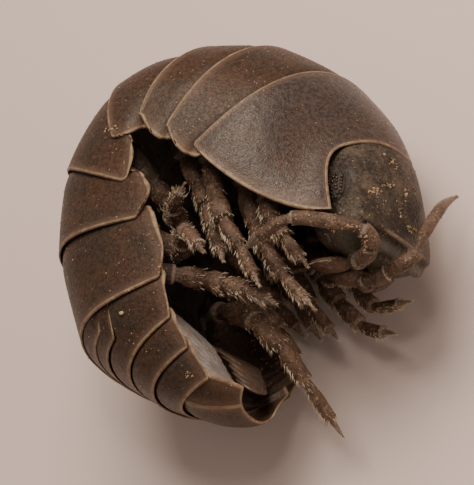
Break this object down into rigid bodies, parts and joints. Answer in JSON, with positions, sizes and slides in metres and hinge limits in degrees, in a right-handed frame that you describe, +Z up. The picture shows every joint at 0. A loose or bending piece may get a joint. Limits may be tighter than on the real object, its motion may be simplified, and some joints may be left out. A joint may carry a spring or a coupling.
{
  "type": "pill woodlouse model",
  "caption": "Half-rolled pill woodlouse lying on its left side, with overlapping arched back plates, a broad head, feelers, folded legs and a short tail fan.",
  "frame": {"origin": "centre of the model's outline on the floor, under its lowest flats", "axes": "+Z up, out of the animal's right side; +X towards its head; +Y towards the middle of its arched back, so the tail fan is at -Y"},
  "size_m": [0.0094, 0.0092, 0.0068],
  "materials": {
    "plate": "semi-gloss, finely grained horny shell with paler rims",
    "head": "finely granular horny shell, nearly matt",
    "eye": "black, beaded, glossy",
    "limb": "brown jointed cuticle with pale bristles",
    "gill": "pale, thin and moist"
  },
  "bodies": {
    "root": {"pereonite_1": "plate", "pereonite_2": "plate", "pereonite_3": "plate", "pereonite_4": "plate", "pereonite_5": "plate", "pereonite_6": "plate", "pereonite_7": "plate", "pleonite_1": "plate", "pleonite_2": "plate", "pleonite_3": "plate", "pleonite_4": "plate", "pleonite_5": "plate", "telson": "plate", "head": "head", "mouthparts": "limb", "uropod_right": "plate", "pleopods_right": "gill", "eye_right": "eye", "antenna_right": "limb", "leg_right_1": "limb", "leg_right_2": "limb", "leg_right_3": "limb", "leg_right_4": "limb", "leg_right_5": "limb", "leg_right_6": "limb", "leg_right_7": "limb", "uropod_left": "plate", "pleopods_left": "gill", "eye_left": "eye", "antenna_left": "limb", "leg_left_1": "limb", "leg_left_2": "limb", "leg_left_3": "limb", "leg_left_4": "limb", "leg_left_5": "limb", "leg_left_6": "limb", "leg_left_7": "limb"}
  },
  "joints": []
}
